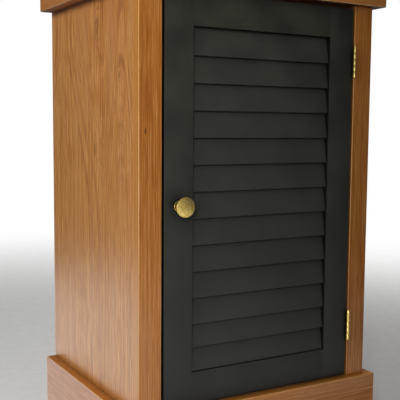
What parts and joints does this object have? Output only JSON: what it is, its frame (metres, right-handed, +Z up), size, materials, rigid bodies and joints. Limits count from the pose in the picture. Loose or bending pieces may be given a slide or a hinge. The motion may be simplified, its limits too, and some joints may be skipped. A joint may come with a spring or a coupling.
{
  "type": "louvred door cabinet",
  "caption": "Small wooden cupboard on a plinth with an overhanging top and one dark inset louvred door that swings on butt hinges and is pulled by a round brass knob.",
  "frame": {"origin": "on the floor, under the middle of the cabinet's bounding box, knob included", "axes": "+X to the right seen from the front, +Y from the door to the back, +Z up"},
  "size_m": [0.4662, 0.374, 0.7359],
  "materials": {
    "honey_wood": "satin clear coat over honey-brown wood with straight and arched grain",
    "charcoal_paint": "matt charcoal paint on wood",
    "antique_brass": "worn antique brass, softly brushed",
    "hardboard": "plain brown hardboard",
    "beech": "raw beech dowel",
    "zinc_steel": "bright zinc-plated steel",
    "black_plastic": "moulded black nylon",
    "ferrite": "sintered ferrite"
  },
  "bodies": {
    "carcass": {"back_panel": "hardboard", "back_panel_pins": "zinc_steel", "bottom_panel": "honey_wood", "carcass_dowels": "beech", "carcass_screws": "zinc_steel", "catch_housing": "black_plastic", "catch_magnet": "ferrite", "catch_pole_plates": "zinc_steel", "catch_screws": "zinc_steel", "face_stile_left": "honey_wood", "face_stile_right": "honey_wood", "floor_glides": "black_plastic", "hinge_frame_screws": "antique_brass", "hinge_lower_frame_leaf": "antique_brass", "hinge_lower_pin": "antique_brass", "hinge_upper_frame_leaf": "antique_brass", "hinge_upper_pin": "antique_brass", "plinth_back_rail": "honey_wood", "plinth_front": "honey_wood", "plinth_front_rail": "honey_wood", "plinth_left": "honey_wood", "plinth_right": "honey_wood", "shelf": "honey_wood", "shelf_pegs": "zinc_steel", "side_panel_left": "honey_wood", "side_panel_right": "honey_wood", "top_back_rail": "honey_wood", "top_front_stretcher": "honey_wood", "top_panel": "honey_wood"},
    "door": {"door_bottom_rail": "charcoal_paint", "door_knob": "antique_brass", "door_stile_hinge_side": "charcoal_paint", "door_stile_knob_side": "charcoal_paint", "door_top_rail": "charcoal_paint", "hinge_door_screws": "antique_brass", "hinge_lower_door_leaf": "antique_brass", "hinge_upper_door_leaf": "antique_brass", "knob_screw": "zinc_steel", "louvre_slat_01": "charcoal_paint", "louvre_slat_02": "charcoal_paint", "louvre_slat_03": "charcoal_paint", "louvre_slat_04": "charcoal_paint", "louvre_slat_05": "charcoal_paint", "louvre_slat_06": "charcoal_paint", "louvre_slat_07": "charcoal_paint", "louvre_slat_08": "charcoal_paint", "louvre_slat_09": "charcoal_paint", "louvre_slat_10": "charcoal_paint", "louvre_slat_11": "charcoal_paint", "louvre_slat_12": "charcoal_paint", "louvre_slat_13": "charcoal_paint", "strike_plate": "zinc_steel", "strike_screws": "zinc_steel"}
  },
  "joints": [
    {"name": "door_hinge", "type": "hinge", "parent": "carcass", "child": "door", "pos_m": [0.17375, -0.16625, 0.4061], "axis": [0, 0, 1], "range_deg": [0, 170]}
  ]
}
